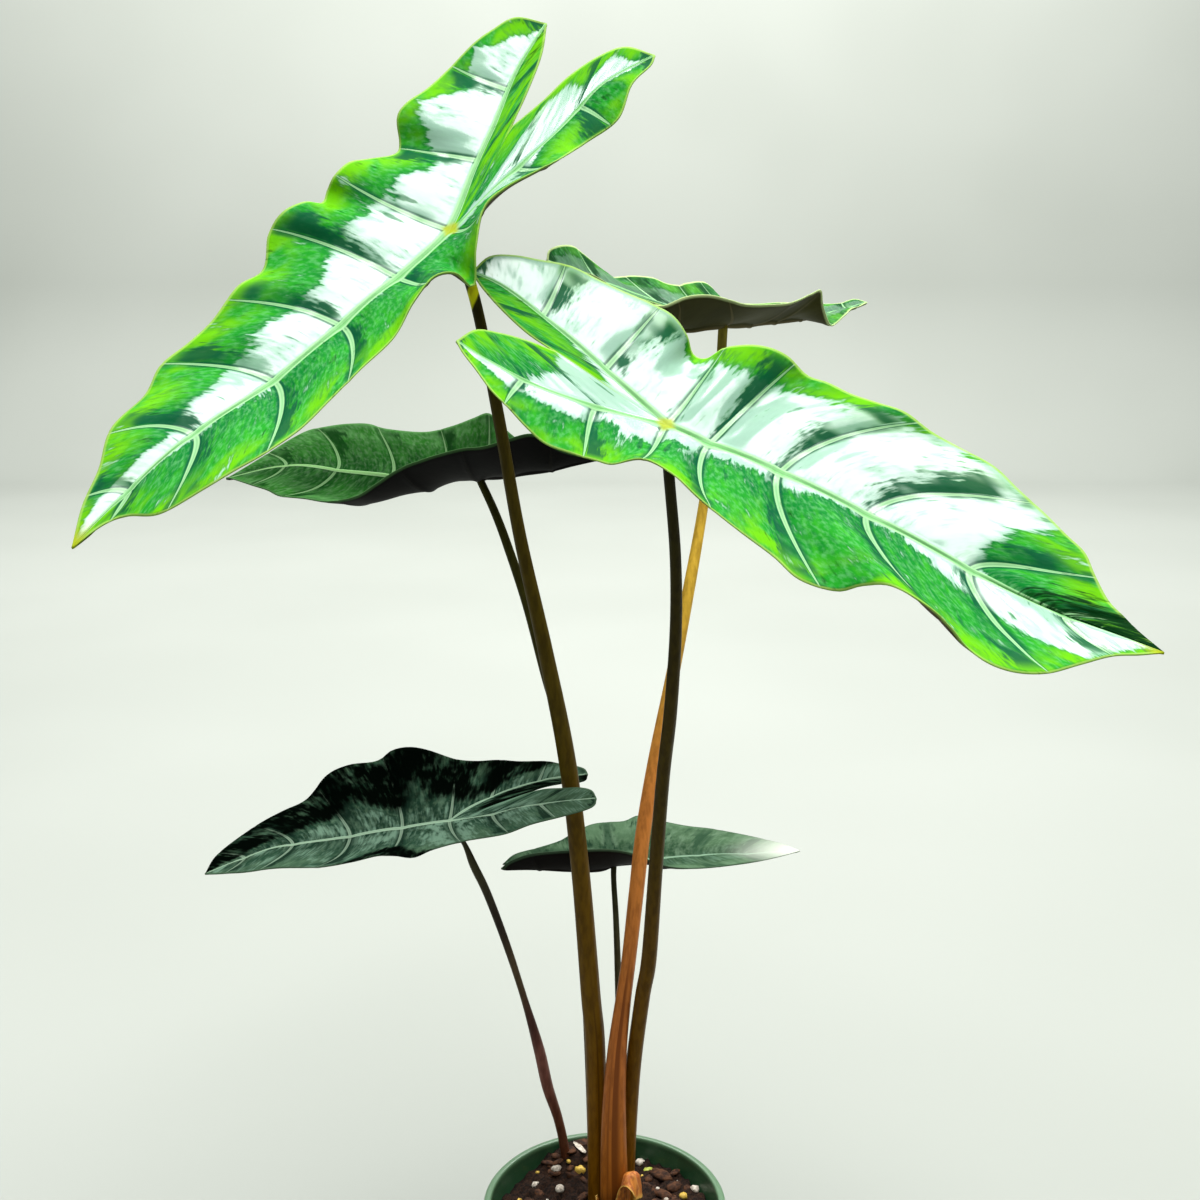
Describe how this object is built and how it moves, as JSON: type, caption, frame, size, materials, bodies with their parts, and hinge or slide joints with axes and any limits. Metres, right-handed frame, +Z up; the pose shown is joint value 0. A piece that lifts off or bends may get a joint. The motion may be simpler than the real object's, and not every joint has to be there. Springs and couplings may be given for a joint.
{
  "type": "potted alocasia chantrieri",
  "caption": "Potted foliage plant with long arrow-shaped wavy leaves on tall slender stems, standing in soil in a round tapered nursery pot.",
  "frame": {"origin": "middle of the pot's flat base, on the surface the pot stands on", "axes": "+Z up along the pot's axis; the side that the reference view looks at faces -Y; +X is to the viewer's right"},
  "size_m": [0.3221, 0.3631, 0.5765],
  "materials": {
    "bright_blade": "glossy leaf surface, bright green with pale veins",
    "dark_blade": "satin leaf surface, dark green with pale veins",
    "olive_petiole": "smooth satin stem, olive brown",
    "orange_petiole": "smooth satin stem, orange above and brown below",
    "brown_petiole": "smooth satin stem, dark brown",
    "dry_sheath": "dry papery sheath, orange brown",
    "soil": "rough moist potting soil with pale mineral bits",
    "pot": "satin dark green moulded plastic"
  },
  "bodies": {
    "root": {"leaf_upper_left_blade": "bright_blade", "leaf_upper_left_petiole": "olive_petiole", "leaf_upper_right_blade": "bright_blade", "leaf_upper_right_petiole": "olive_petiole", "leaf_back_right_blade": "bright_blade", "leaf_back_right_petiole": "orange_petiole", "leaf_middle_left_blade": "dark_blade", "leaf_middle_left_petiole": "olive_petiole", "leaf_lower_left_blade": "dark_blade", "leaf_lower_left_petiole": "brown_petiole", "leaf_lower_right_blade": "dark_blade", "leaf_lower_right_petiole": "brown_petiole", "dry_sheath": "dry_sheath", "soil": "soil", "pot": "pot"}
  },
  "joints": []
}
